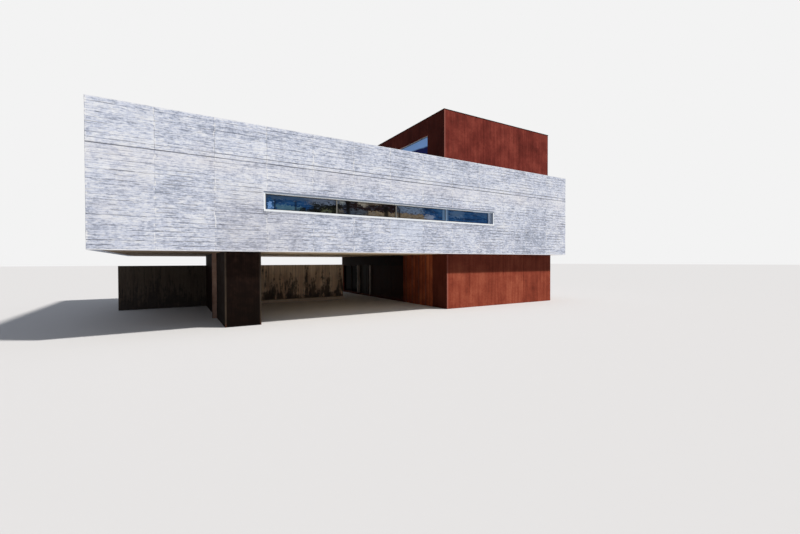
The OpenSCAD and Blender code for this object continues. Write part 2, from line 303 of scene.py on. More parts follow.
@dataclass(frozen=True)
class BoardMarkedConcrete(Finish):
    """Grey concrete cast against sawn boards, 150 mm high in bays of 1.7 m.

    Dull and cool grey, with the grain of the boards lying flat, dark dashes where paste ran out
    of the joints, and the darker lines where one pour ended and the next began.
    """

    shades: Shades = ("#969fb1", "#d1d9ec", "#f4f8ff")
    warm: str = "#dcd4d2"
    dull: str = "#bab6bb"
    joint: str = "#5c5f6c"
    dash: str = "#6b6d7a"
    chip_and_highlight: str = "#fdfeff"
    new: str = "#e6efff"
    board: float = 0.150
    boards: int = 30
    bay: float = 1.700
    foot: float = 2.660
    corner: float = -17.850
    pours: tuple[float, float] = (5.81, 5.96)
    second_pour_from: float = -14.45
    fresh: tuple[float, float, float, float] = (-7.65, -5.95, 3.26, 4.16)

    def paint(self, c: Canvas) -> None:
        """Fills the material's tree.

        Args:
            c: Canvas of the material.
        """
        row, row_edge = c.cells(c.z, self.board, self.foot)
        bay, bay_edge = c.cells(c.run, self.bay, self.corner)
        lift, _ = c.cells(c.z, 10 * self.board, self.foot)
        pour, last_pour = self.pours
        # Real grain is about 2 mm apart. It is drawn 20 to 50 mm wide, so that it shows from here
        grain = c.streaks(c.run, c.z, 0.50, 0.018, row, 6.0)
        fleck = c.streaks(c.run, c.z, 0.15, 0.036, row, 3.0)
        long_fleck = c.streaks(c.run, c.z, 0.36, 0.050, 63.0, 3.0)
        board = c.streaks(c.run, row, 1.3, 1.0, 71.0)
        bloom = c.streaks(c.run, c.z, 1.6, 0.55, 17.0)
        cloud = c.mottle(2.4, 3.0)
        speckle = c.mottle(0.07, 5.0)
        blotch = c.mottle(0.24, 13.0, 5.0)
        tone = c.weigh(0.48, (grain, 1.0), (board, 0.75), (bloom, 1.15), (cloud, 0.7),
                       (speckle, 1.0), (blotch, 1.1), (fleck, 1.9), (long_fleck, 1.6),
                       (c.dice(row, bay, 4.0), 0.14), (c.dice(bay, lift, 6.0), 0.22))
        # The head of the middle pour dried palest, and the last pour only at its start
        tone = c.add("Math:MULTIPLY_ADD", [c.near(c.z, pour - 0.25, 0.25, 1.10), 0.15, tone])
        last = c.add("MapRange", [c.z, pour, pour + 0.2])
        start = c.add("MapRange", [c.run, -16.0, -4.0, 0.10, -0.04])
        tone = c.add("Math:MULTIPLY_ADD", [last, start, tone])
        c.tones(tone, self.shades)
        patch = c.add("MapRange:SMOOTHSTEP", [c.mottle(1.3, 11.0), 0.52, 0.74])
        under = c.near(c.z, pour - 0.22, 0.12, 0.35)
        cream = c.add("Math:MULTIPLY", [under, c.mottle(1.9, 37.0)])
        cream = c.add("Math:MULTIPLY", [cream, 0.34])
        cream = c.add("Math:MULTIPLY_ADD", [patch, 0.14, cream])
        c.stain(cream, 1.0, self.warm)
        # The first bays are duller and warmer near the foot, the third most of all
        low_part = c.add("MapRange", [c.z, 4.2, 5.3, 1.0, 0.0])
        first_bays = c.add("MapRange", [c.run, -12.5, -8.5, 0.05, 0.0])
        third = c.near(c.run, -12.9, 1.1, 0.8)
        dull = c.add("Math:MULTIPLY_ADD", [third, 0.22, first_bays])
        c.stain([dull, low_part], 1.0, self.dull)
        # Raised grain leaves short dark lines and paler ones, 20 to 30 mm high as drawn
        crowd = c.add("Math:MULTIPLY_ADD", [c.add("Math:ADD", [bloom, cloud]), -0.12, 0.12])
        dark = c.add("Math:SUBTRACT", [c.streaks(c.run, c.z, 0.34, 0.026, row, 3.0), crowd])
        dark = c.add("MapRange:SMOOTHSTEP", [dark, 0.52, 0.68])
        # The boards near the pour joints were newer, so they left less of a mark
        worn = c.add("MapRange", [c.z, pour - 0.70, pour - 0.25, 1.0, 0.35])
        past_line = c.add("MapRange", [c.z, pour, pour + 0.02, 0.0, 0.45])
        worn = c.add("Math:ADD", [worn, past_line])
        c.stain([dark, worn], 0.40, self.dash)
        pale = c.streaks(c.run, c.z, 0.30, 0.028, 40.0, 3.0)
        pale = c.add("MapRange:SMOOTHSTEP", [pale, 0.54, 0.70])
        c.stain(pale, 0.74, self.chip_and_highlight)
        # Joints are 2 to 4 mm wide in fact, and drawn at up to eight times that
        spread = c.add("MapRange", [c.run, -14.0, 4.0, 0.002, 0.020])
        spread = c.add("Math:MULTIPLY_ADD", [c.mottle(0.30, 51.0), 0.040, spread])
        groove = c.add("MapRange:SMOOTHSTEP", [row_edge, 0.004, spread, 1.0, 0.0])
        wander = c.add("Math:ADD", [row, c.mottle(0.45, 21.0)])
        dash = c.add("MapRange", [c.streaks(c.run, wander, 0.55, 1.0, 7.5, 6.0), 0.48, 0.58])
        dashes = c.add("Math:MULTIPLY", [groove, dash])
        c.stain([dashes, worn], 0.74, self.dash)
        # One panel under the slot came out of its form paler than the rest
        left, right, low, high = self.fresh
        fresh_along = c.near(c.run, (left + right) / 2, (right - left) / 2, 0.01)
        fresh_up = c.near(c.z, (low + high) / 2, (high - low) / 2, 0.01)
        c.stain([fresh_along, fresh_up], 0.30, self.new)
        # Bay joints show above the upper pour, and only as chips below it
        seam = c.add("MapRange:SMOOTHSTEP", [bay_edge, 0.005, 0.014, 1.0, 0.0])
        broken = c.add("MapRange", [c.streaks(c.z, bay, 0.35, 1.0, 3.5), 0.36, 0.54])
        upper = c.add("MapRange", [c.z, pour - 0.02, pour + 0.02, 0.16, 0.46])
        c.stain([seam, broken, upper], 1.0, self.joint)
        chips = c.add("MapRange", [c.streaks(c.z, bay, 0.14, 1.0, 9.5, 3.0), 0.52, 0.60])
        edge = c.add("MapRange:SMOOTHSTEP", [bay_edge, 0.014, 0.050, 1.0, 0.0])
        c.stain([chips, edge], 0.8, self.chip_and_highlight)
        # The two upper pours end in lines of paste that ran out
        wobble = c.add("MapRange", [c.streaks(c.run, c.z, 1.1, 0.5, 2.0), 0.35, 0.60, 0.55, 1.0])
        begins = c.add("Math:GREATER_THAN", [c.run, self.second_pour_from])
        second = c.add("Math:MULTIPLY", [c.near(c.z, last_pour, 0.010, 0.012), begins])
        lines = c.add("Math:MAXIMUM", [c.near(c.z, pour, 0.012, 0.012), second])
        c.stain([lines, wobble], 0.85, self.joint)
        # Air holes of 4 to 8 mm, drawn at 15 mm
        holes = c.add("TexVoronoi", {"Vector": c.point, "Scale": 3.2})
        hole = c.add("MapRange", [holes, 0.035, 0.055, 1.0, 0.0])
        c.stain(hole, 0.45, self.joint)
        # Painted highlights: pale lines along the foot and the top edge, where the arrises catch the light
        c.stain(c.near(c.z, self.foot, 0.020, 0.020), 0.75, self.chip_and_highlight)
        top = c.near(c.z, self.foot + self.boards * self.board, 0.016, 0.016)
        c.stain(top, 0.50, self.chip_and_highlight)
        # Wall tops are floated, so they have no boards
        level = c.add("Math:GREATER_THAN", [c.add("Math:ABSOLUTE", [c.faces_z]), 0.7])
        cast = c.colour
        c.tones(c.weigh(0.45, (cloud, 1.0), (speckle, 0.8)), self.shades)
        c.colour = c.add("Mix:RGBA", {0: level, 6: cast, 7: c.colour}, 2)
        height = c.weigh(0.5, (pale, 0.5), (grain, 0.9), (speckle, 0.4))
        height = c.add("Math:SUBTRACT", [height, dashes])
        c.surface((grain, 0.78, 0.95), height, 0.006, specular_ior_level=0.3)


@dataclass(frozen=True)
class CastSoffit(Finish):
    """Concrete cast on smooth panels of 1.7 m: flat and warm grey, with thin panel joints."""

    shades: Shades = ("#b8966e", "#d8b88e", "#ecd2ab")
    joint: str = "#7d6346"
    painted_bounce: str = "#ffe9c4"
    painted_end_shade: str = "#4a2c14"
    bay: float = 1.700
    corner: tuple[float, float] = (-11.05, -6.8)

    def paint(self, c: Canvas) -> None:
        """Fills the material's tree.

        Args:
            c: Canvas of the material.
        """
        across, edge_x = c.cells(c.x, self.bay, self.corner[0])
        deep, edge_y = c.cells(c.y, self.bay, self.corner[1])
        speckle = c.mottle(0.04, 6.0)
        tone = c.weigh(0.5, (c.mottle(1.1, 2.0), 0.9), (speckle, 0.5),
                       (c.dice(across, deep, 1.0), 0.3))
        c.tones(tone, self.shades)
        # Painted light from the ground brightens the strip behind the front edge, and painted shade
        # darkens the left end
        front = c.add("MapRange:SMOOTHSTEP", [c.y, -6.2, 0.6, 0.95, 0.0])
        c.stain(front, 1.0, self.painted_bounce)
        end = c.add("MapRange:SMOOTHSTEP", [c.x, -8.2, -4.2, 0.78, 0.0])
        c.stain(end, 1.0, self.painted_end_shade)
        edge = c.add("Math:MINIMUM", [edge_x, edge_y])
        seam = c.add("MapRange:SMOOTHSTEP", [edge, 0.004, 0.012, 1.0, 0.0])
        c.stain(seam, 0.5, self.joint)
        c.surface(0.8, c.add("Math:SUBTRACT", [speckle, seam]), 0.003, 0.4)


@dataclass(frozen=True)
class StainedConcrete(Finish):
    """Low garden concrete cast on standing boards: beige brown, darkened by damp from below."""

    shades: Shades = ("#8b705a", "#cbae91", "#efd9bb")
    damp_and_shade: str = "#2c211c"
    black: str = "#120b08"
    board: float = 0.150
    corner: float = -17.85
    damp_to: float = 1.1
    climbs_to: float = 2.0
    darkened_end: tuple[float, float] = (-7.4, -3.6)

    def paint(self, c: Canvas) -> None:
        """Fills the material's tree.

        Args:
            c: Canvas of the material.
        """
        plank, edge = c.cells(c.run, self.board, self.corner)
        # Grain of 3 mm, drawn at 16 mm
        grain = c.streaks(c.z, c.run, 0.5, 0.016, plank, 5.0)
        tone = c.weigh(0.5, (grain, 0.9), (c.mottle(0.9, 8.0), 0.8),
                       (c.dice(plank, seed=3.0), 0.35))
        c.tones(tone, self.shades)
        low, _, high = self.shades
        seam = c.add("MapRange:SMOOTHSTEP", [edge, 0.003, 0.010, 1.0, 0.0])
        c.stain(seam, 0.5, low)
        c.stain(c.add("MapRange", [c.z, 1.4, 2.1, 0.0, 0.35]), 1.0, high)
        rise = c.add("MapRange", [c.z, 0.0, self.damp_to, 0.22, -0.14])
        patchy = c.add("Math:ADD", [c.mottle(0.35, 4.0, 5.0), rise])
        damp_and_shade = c.add("MapRange:SMOOTHSTEP", [patchy, 0.52, 0.72])
        c.stain(damp_and_shade, 0.75, self.damp_and_shade)
        # Ragged dark streaks rise from the foot, some of them nearly to the top
        climb = c.add("MapRange", [c.z, 0.3, self.climbs_to, 0.13, -0.10])
        ragged = c.weigh(0.5, (c.streaks(c.z, c.run, 1.6, 0.42, 5.0, 3.0), 1.0),
                         (c.streaks(c.z, c.run, 0.7, 0.09, 9.0), 0.55),
                         (c.mottle(0.13, 9.0, 5.0), 0.35))
        ragged = c.add("MapRange:SMOOTHSTEP", [c.add("Math:ADD", [ragged, climb]), 0.48, 0.66])
        c.stain(ragged, 0.88, self.damp_and_shade)
        runs = c.add("MapRange", [c.streaks(c.z, c.run, 2.5, 0.06, 12.0), 0.54, 0.66])
        c.stain(runs, 0.50, self.damp_and_shade)
        # The left end of the wall is darkened nearly to black
        darkened_end = c.add("MapRange:SMOOTHSTEP", [c.x, *self.darkened_end, 0.92, 0.0])
        c.stain(darkened_end, 1.0, self.black)
        c.surface(0.88, c.add("Math:SUBTRACT", [grain, seam]), 0.005)


@dataclass(frozen=True)
class WeatheringSteel(Finish):
    """Plate steel under its own rust: dull, mottled, with runs down each sheet.

    The rust is a fine crust, so nothing shines. Sheets weather apart from each other, so their
    tones differ. Faces that look to -x get painted shade, and the dark colour serves damp and shade.
    """

    shades: Shades = ("#4a1a14", "#743028", "#98493c")
    pale: str = "#ad6552"
    damp_and_shade: str = "#1a0604"
    corner_highlight: str = "#b2776a"
    sheet: float = 1.275
    start: float = -3.85
    spread: float = 0.22
    side_shade: float = 0.86
    far: float = 0.0
    clouds: float = 1.4
    streaked: float = 0.32
    corner: float = 2.45
    ribs: float = 0.0
    shadow_line: float = 99.0

    def paint(self, c: Canvas) -> None:
        """Fills the material's tree.

        Args:
            c: Canvas of the material.
        """
        sheet, sheet_edge = c.cells(c.run, self.sheet, self.start)
        # Rust grains are under 1 mm. The finest pattern here is 12 mm, for this distance
        grit = c.mottle(0.012, 1.0, 2.0)
        blotch = c.mottle(0.10, 5.0, 5.0)
        runs = c.streaks(c.z, c.run, 2.6, 0.16, sheet, 2.0)
        tone = c.weigh(0.5, (grit, 0.4), (blotch, 0.5), (c.mottle(0.9, 9.0), self.clouds),
                       (runs, 0.7), (c.dice(sheet, seed=1.0), self.spread))
        c.tones(tone, self.shades)
        drips = c.add("MapRange", [c.streaks(c.z, c.run, 2.6, 0.07, 20.0, 3.0), 0.60, 0.74])
        c.stain(drips, 0.22, self.pale)
        dark = c.add("MapRange", [c.streaks(c.z, c.run, 1.4, 0.16, 31.0), 0.56, 0.74])
        c.stain(dark, self.streaked, self.damp_and_shade)
        # Planks have a dark joint and a painted highlight along a ridge, 15 mm wide and drawn at three
        # times that
        joint = c.add("MapRange", [sheet_edge, 0.020, 0.045, self.ribs, 0.0])
        c.stain(joint, 1.0, self.damp_and_shade)
        ridge_highlight = c.near(sheet_edge, 0.085, 0.018, 0.020)
        c.stain([ridge_highlight, self.ribs], 0.42, self.pale)
        # Painted shade: faces that look to -x are darkened, most near the foot and towards the front
        side_shade_mask = c.add("MapRange", [c.faces_x, -0.9, -0.6, 1.0, 0.0])
        side_shade_by_height = c.add("MapRange", [c.z, 0.2, 2.6, 1.0, 0.86])
        side_shade_to_front = c.add("MapRange", [c.y, -6.2, -2.6, 1.12, 1.0])
        c.stain([side_shade_mask, side_shade_by_height, side_shade_to_front], self.side_shade, self.damp_and_shade)
        # Painted shade darkens the planks deep under the house
        deep = c.add("MapRange", [c.y, -3.2, -2.5, 0.0, self.far])
        c.stain(deep, 1.0, self.damp_and_shade)
        # A painted highlight runs along the folded edge at the corner
        fronts = c.add("MapRange", [c.faces_y, -0.9, -0.6, 1.0, 0.0])
        edge = c.near(c.x, self.corner + 0.025, 0.030, 0.030)
        c.stain([edge, fronts], 0.45, self.corner_highlight)
        # Painted shadow of the overhang: front faces above one height are darker
        overhang_shadow = c.add("MapRange", [c.z, self.shadow_line - 0.03, self.shadow_line + 0.03])
        c.stain([overhang_shadow, fronts], 0.62, self.damp_and_shade)
        height = c.weigh(0.5, (grit, 0.8), (blotch, 0.8))
        c.surface((blotch, 0.72, 0.92), height, 0.0025, 0.5, specular_ior_level=0.05)


@dataclass(frozen=True)
class DarkSteel(Finish):
    """Oiled hot-rolled steel: nearly black brown, with a faint sheen and cloudy mill scale."""

    shades: Shades = ("#0c0706", "#1c120e", "#33231c")
    wet: str = "#060403"

    def paint(self, c: Canvas) -> None:
        """Fills the material's tree.

        Args:
            c: Canvas of the material.
        """
        scale = c.mottle(0.25, 2.0, 5.0)
        runs = c.streaks(c.z, c.run, 1.0, 0.03, 4.0)
        c.tones(c.weigh(0.5, (scale, 1.2), (runs, 0.8)), self.shades)
        foot = c.add("MapRange", [c.z, 0.2, 2.2, 0.65, 0.0])
        c.stain(foot, 1.0, self.wet)
        c.surface((scale, 0.62, 0.82), scale, 0.001, 0.3, specular_ior_level=0.04)


@dataclass(frozen=True)
class SatinPaint(Finish):
    """Black stove paint on flat panels: even, with dust near the foot and a soft sheen."""

    shades: Shades = ("#180d08", "#26160f", "#332118")
    dust: str = "#4b2c20"

    def paint(self, c: Canvas) -> None:
        """Fills the material's tree.

        Args:
            c: Canvas of the material.
        """
        film = c.mottle(0.5, 6.0)
        peel = c.mottle(0.015, 3.0, 1.0)
        c.tones(c.weigh(0.5, (film, 1.0), (peel, 0.3)), self.shades)
        foot = c.add("MapRange", [c.z, 0.05, 0.32, 0.30, -0.05])
        reach = c.add("Math:ADD", [c.mottle(0.12, 7.0), foot])
        dusty = c.add("MapRange:SMOOTHSTEP", [reach, 0.60, 0.85])
        c.stain(dusty, 0.7, self.dust)
        c.surface((film, 0.48, 0.62), peel, 0.0004, 0.2, specular_ior_level=0.015)


@dataclass(frozen=True)
class SatinAluminium(Finish):
    """Anodised aluminium sections: fine lines along the length, a soft wide sheen."""

    shades: Shades = ("#9ea1a3", "#c3c6c7", "#dcdedd")
    cool: str = "#dcecff"
    cool_from: float = 99.0
    reflected_blue: str = "#8da7c3"
    reflected_blue_at: float = 99.0

    def paint(self, c: Canvas) -> None:
        """Fills the material's tree.

        Args:
            c: Canvas of the material.
        """
        lines = c.streaks(c.run, c.z, 0.8, 0.004, 1.0, 2.0)
        c.tones(c.weigh(0.5, (lines, 0.5), (c.mottle(0.4, 3.0), 0.8)), self.shades)
        # The sections past one place along are paler and cooler
        past_line = c.add("MapRange", [c.x, self.cool_from - 0.05, self.cool_from + 0.05])
        c.stain(past_line, 0.9, self.cool)
        # A painted reflection: a pale blue band on the bars at one place along
        c.stain(c.near(c.x, self.reflected_blue_at, 0.10, 0.05), 0.9, self.reflected_blue)
        c.surface((lines, 0.34, 0.46), lines, 0.0003, 0.2, metallic=0.55)


@dataclass(frozen=True)
class PowderCoat(Finish):
    """White powder coat on folded sheet: bright and even, with painted shade above the head and in the
    reveal that faces -x.
    """

    shades: Shades = ("#e9f2fc", "#f4faff", "#fcfeff")
    painted_shade: str = "#5c6a82"
    head: float = 4.775

    def paint(self, c: Canvas) -> None:
        """Fills the material's tree.

        Args:
            c: Canvas of the material.
        """
        peel = c.mottle(0.02, 3.0, 2.0)
        c.tones(c.weigh(0.5, (c.mottle(0.5, 8.0), 0.9), (peel, 0.3)), self.shades)
        # Painted shade: the face above the head and the reveal that looks to -x are darkened
        above = c.add("MapRange", [c.z, self.head + 0.002, self.head + 0.008])
        reveal_in_shade = c.add("MapRange", [c.faces_x, -0.9, -0.6, 1.0, 0.0])
        c.stain(c.add("Math:MAXIMUM", [above, reveal_in_shade]), 0.9, self.painted_shade)
        c.surface((peel, 0.35, 0.5), peel, 0.0003, 0.2)


@dataclass(frozen=True)
class GlassPatch:
    """Part of a sheet of glass with a painted reflection of its own tone, from one height to another."""

    middle: float
    half: float
    low: float
    high: float
    code: str
    share: float = 0.9
    soft: float = 0.10


@dataclass(frozen=True)
class SlotGlass(Finish):
    """Sealed glass, mirror smooth, with painted reflections: deep blue at the ends, bronze between.

    Its wide patches of painted reflection have ragged edges, and the dark bars between them have
    straight ones.
    """

    shades: Shades = ("#0a2444", "#1c4a7c", "#3d678c")
    shadow: str = "#0b0908"
    glint: str = "#8fa0b4"
    patches: tuple[GlassPatch, ...] = tuple(GlassPatch(*row) for row in (
        (-4.90, 1.30, 4.62, 5.00, "#44566e", 0.70, 0.20), (-5.12, 0.48, 4.10, 4.42, "#547a8c", 0.80),
        (-5.80, 0.09, 4.22, 4.50, "#86b2ea", 0.90, 0.04), (-3.60, 0.75, 4.50, 5.00, "#6c788c", 0.90, 0.35),
        (-4.30, 0.50, 4.10, 4.34, "#14170f", 0.95, 0.30), (-3.62, 0.62, 4.10, 4.59, "#14150f", 0.97, 0.25),
        (-3.50, 0.35, 4.22, 4.40, "#5b5f45", 0.80, 0.10), (-2.98, 0.16, 4.62, 5.00, "#8f9492", 0.90, 0.04),
        (-2.98, 0.16, 4.10, 4.62, "#191412", 0.95, 0.04), (-2.98, 0.14, 4.26, 4.44, "#6a645b", 0.80, 0.06),
        (-1.25, 1.55, 4.28, 5.00, "#22110e", 0.98, 0.08), (-2.02, 0.20, 4.62, 5.00, "#a39c90", 0.90, 0.10),
        (-1.55, 0.40, 4.66, 5.00, "#74685a", 0.70, 0.15), (-0.60, 1.75, 4.10, 4.44, "#877760", 0.95, 0.10),
        (-2.30, 0.45, 4.20, 4.46, "#454d58", 0.95, 0.12), (0.35, 0.66, 4.46, 5.00, "#7487a0", 0.90, 0.25),
        (1.38, 0.24, 4.10, 4.46, "#8d9ab2", 0.90, 0.15), (3.05, 0.40, 4.42, 5.00, "#5f7c9c", 0.60, 0.30),
        (4.60, 0.50, 4.60, 5.00, "#4a6486", 0.50, 0.30)))
    bars: tuple[GlassPatch, ...] = tuple(GlassPatch(*row) for row in (
        (-5.63, 0.03, 4.10, 4.62, "#0d1420"), (-4.85, 0.03, 4.10, 4.60, "#111c2c"),
        (-3.32, 0.08, 4.10, 4.56, "#0b0a08"), (-2.70, 0.08, 4.10, 5.00, "#0a0807"),
        (-1.82, 0.02, 4.10, 4.50, "#1c1711"), (-0.92, 0.11, 4.10, 4.66, "#0d0a08"),
        (-0.26, 0.05, 4.10, 4.62, "#14110d"), (2.31, 0.17, 4.10, 5.00, "#6d8cac")))
    ragged: tuple[float, float] = (0.55, 0.34)

    def paint(self, c: Canvas) -> None:
        """Fills the material's tree.

        Args:
            c: Canvas of the material.
        """
        drift = c.streaks(c.x, c.z, 0.9, 0.16, 4.0)
        ripple = c.streaks(c.x, c.z, 0.34, 0.14, 9.0, 6.0)
        c.tones(c.weigh(0.45, (drift, 2.4), (ripple, 0.8)), self.shades)
        tremble = c.add("Math:ADD", [ripple, c.streaks(c.x, c.z, 0.07, 0.07, 23.0, 5.0)])
        edges = [c.add("Math:MULTIPLY_ADD", [tremble, share, place])
                 for share, place in zip(self.ragged, (c.x, c.z))]
        # Patches and bars of painted reflection
        for patch in self.patches:
            self.lay(c, patch, edges, self.ragged)
        # Dark flecks break up the bronze part of the painted reflection
        flecks = c.add("MapRange", [c.streaks(c.x, c.z, 0.16, 0.05, 31.0, 5.0), 0.48, 0.62])
        c.stain([flecks, c.near(c.x, -1.5, 2.6, 0.6)], 0.60, self.shadow)
        glints = c.add("MapRange", [c.streaks(c.x, c.z, 0.24, 0.035, 47.0), 0.56, 0.70])
        c.stain(glints, 0.35, self.glint)
        for bar in self.bars:
            self.lay(c, bar, (c.x, c.z), (0.0, 0.0))
        c.surface(0.04, c.mottle(0.9, 2.0, 1.0), 0.0006, 0.1, ior=1.45,
                  specular_ior_level=0.05)

    def lay(self, c: Canvas, patch: GlassPatch, place: Sequence[Socket],
            shift: tuple[float, float]) -> None:
        """Lays one patch over the glass.

        Args:
            c: Canvas of the material.
            patch: Place and tone of the patch.
            place: Coordinates along the glass and up.
            shift: Averages by which they are off.
        """
        tall = (patch.high - patch.low) / 2
        across = c.near(place[0], patch.middle + shift[0], patch.half - patch.soft / 2, patch.soft)
        upright = c.near(place[1], (patch.low + patch.high) / 2 + shift[1], tall - 0.02, 0.04)
        c.stain([across, upright], patch.share, patch.code)


@dataclass(frozen=True)
class GlassWithPaintedReflection(Finish):
    """Sealed glass, mirror smooth, with a painted reflection: paler above one height and darker below."""

    pale: str = "#92c0ff"
    dark: str = "#041058"
    level: float = 8.52
    slope: float = 0.075
    gloss: float = 0.03
    mirrored: str = "#343d48"
    mirrored_below: float = 7.45

    def paint(self, c: Canvas) -> None:
        """Fills the material's tree.

        Args:
            c: Canvas of the material.
        """
        drift = c.mottle(0.8, 4.0)
        # Painted reflection: paler above a sloping line, darker below
        line = c.add("Math:MULTIPLY_ADD", [c.y, self.slope, self.level])
        line = c.add("Math:MULTIPLY_ADD", [drift, 0.12, line])
        above = c.add("MapRange", [c.add("Math:SUBTRACT", [c.z, line]), 0.02, 0.10])
        c.colour = c.add("Mix:RGBA", {0: above, 6: srgb(self.dark), 7: srgb(self.pale)}, 2)
        # Near its foot a painted reflection of the roof slabs, broken into level bands
        bands = c.add("Math:MULTIPLY_ADD", [c.streaks(c.y, c.z, 1.4, 0.09, 8.0), 0.9, c.z])
        foot = c.add("MapRange", [bands, self.mirrored_below, self.mirrored_below + 0.5, 1.0, 0.0])
        c.stain(foot, 0.8, self.mirrored)
        c.surface(0.04, drift, 0.0006, 0.1, ior=1.45, specular_ior_level=self.gloss)


@dataclass(frozen=True)
class StainedBoards(Finish):
    """Close-grained boards under black stain: the grain shows through and keeps a low sheen."""

    shades: Shades = ("#0d0a08", "#1d1612", "#33281f")
    board: float = 0.155
    start: float = 2.316

    def paint(self, c: Canvas) -> None:
        """Fills the material's tree.

        Args:
            c: Canvas of the material.
        """
        board, _ = c.cells(c.y, self.board, self.start)
        # Grain of 1 mm, drawn at 4 mm
        grain = c.streaks(c.z, c.y, 0.35, 0.004, board)
        wave = c.streaks(c.z, c.y, 1.2, 0.03, board, 2.0)
        tone = c.weigh(0.5, (grain, 0.9), (wave, 0.7), (c.dice(board, seed=5.0), 0.3))
        c.tones(tone, self.shades)
        c.surface((grain, 0.42, 0.6), grain, 0.0006, 0.4, specular_ior_level=0.03)


@dataclass(frozen=True)
class RoofStone(Finish):
    """Washed concrete slabs and pebbles: pale warm grey, rough, each one a little different."""

    shades: Shades = ("#7d7a74", "#a8a49c", "#c6c2b8")
    slab: float = 0.6
    corner: tuple[float, float] = (-10.75, -6.5)

    def paint(self, c: Canvas) -> None:
        """Fills the material's tree.

        Args:
            c: Canvas of the material.
        """
        slab_x, _ = c.cells(c.x, self.slab, self.corner[0])
        slab_y, _ = c.cells(c.y, self.slab, self.corner[1])
        grit = c.mottle(0.012, 1.0, 2.0)
        tone = c.weigh(0.5, (grit, 0.9), (c.mottle(1.4, 7.0), 0.6),
                       (c.dice(slab_x, slab_y, 2.0), 0.35))
        c.tones(tone, self.shades)
        c.surface(0.9, grit, 0.002, 0.5)


@dataclass(frozen=True)
class TrowelledScreed(Finish):
    """Power-trowelled floor: cloudy grey with a dull polish and broad sweeps of the blades."""

    shades: Shades = ("#77736d", "#94908a", "#aca8a1")

    def paint(self, c: Canvas) -> None:
        """Fills the material's tree.

        Args:
            c: Canvas of the material.
        """
        cloud = c.mottle(0.6, 3.0, 5.0)
        sweep = c.streaks(c.x, c.y, 0.7, 0.12, 2.0, 3.0)
        c.tones(c.weigh(0.5, (cloud, 0.9), (sweep, 0.6)), self.shades)
        c.surface((cloud, 0.35, 0.55), sweep, 0.0006, 0.2)


class FinishBook:
    """The finishes of the house, each made once."""

    def __init__(self) -> None:
        """Builds a material for every slot of the model, and those of single nodes and pieces."""
        finishes = {
            Slot.BOARD_MARKED: BoardMarkedConcrete("board_marked_concrete"),
            Slot.SOFFIT: CastSoffit("smooth_cast_soffit"),
            Slot.STAINED: StainedConcrete("stained_garden_concrete"),
            Slot.DECK: RoofStone("washed_roof_slabs"),
            Slot.SCREED: TrowelledScreed("trowelled_screed"),
            Slot.RUST: WeatheringSteel("weathering_steel_plate"),
            Slot.DARK_STEEL: DarkSteel("oiled_hot_rolled_steel"),
            Slot.BLACK: SatinPaint("black_stove_paint"),
            Slot.BOARDS: StainedBoards("black_stained_boards"),
            Slot.METAL: SatinAluminium("anodised_aluminium"),
            Slot.GLASS: SlotGlass("coated_sealed_glass"),
        }
        # The core's front wall and sheets carry the painted shadow of the overhang above 1.72 m
        core_steel = WeatheringSteel("sheltered_steel_plate", ("#5c251b", "#924533", "#b7664c"),
                                     pale="#c07c62", side_shade=0.73, clouds=0.9, streaked=0.14,
                                     shadow_line=1.72)
        bronze_bars = SatinAluminium("bronze_anodised_bars", ("#67635d", "#8b8780", "#a6a29a"),
                                     cool_from=4.0, reflected_blue_at=2.38)
        special = {
            # The planks get painted highlights on their ridges and painted shade deep under the house
            "core_ribbed_panel": WeatheringSteel(
                "weathering_steel_planks", ("#501e10", "#944526", "#c76f42"), sheet=2.9 / 9,
                start=-2.91, spread=0.35, side_shade=0.2, ribs=0.8, far=0.45),
            "core_front_wall": core_steel,
            "core_sheets": core_steel,
            "side_column": WeatheringSteel("brown_steel_post", ("#64493c", "#967a6c", "#b39787"),
                                           side_shade=0.84),
            "front_window_lining": PowderCoat("white_powder_coat"),
            "back_window_lining": PowderCoat("white_powder_coat_back"),
            "front_window_bars": bronze_bars,
            "back_window_bars": bronze_bars,
            "entry_fins": SatinPaint("pale_bronze_fin_paint", ("#7b736d", "#968e87", "#aaa29b")),
            "door_pull": SatinPaint("black_pull_paint"),
            "store_corner_angles": SatinPaint("dull_zinc_paint", ("#2c2521", "#40372f", "#52473f")),
            "upper_window_glass": GlassWithPaintedReflection("blue_tinted_glass"),
            "entry_window_glass": GlassWithPaintedReflection("smoked_glass", "#0f0806", "#080403", gloss=0.004,
                                              mirrored_below=-9.0),
            "entry_window_frame": SatinPaint("black_powder_coat"),
            "kerb": CastSoffit("pale_cast_kerb", ("#94846f", "#b6a592", "#cbbba8")),
        }
        self.materials = {slot: finish.build() for slot, finish in finishes.items()}
        made = {finish: finish.build() for finish in dict.fromkeys(special.values())}
        self.special = {name: made[finish] for name, finish in special.items()}

    def dress_model(self) -> None:
        """Gives every node of the model the finish of its slot in the record."""
        for name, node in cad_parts.items():
            slot = Slot(node.material_slots[0].material.name.split(".")[0])
            material = self.choose(name, slot)
            for holder in node.material_slots:
                holder.material = material
            LOG.info("%s: %s", name, material.name)

    def choose(self, name: str, slot: Slot) -> bpy.types.Material:
        """The finish of a node or piece: its own if it has one, or else that of its slot."""
        return self.special.get(name, self.materials[slot])


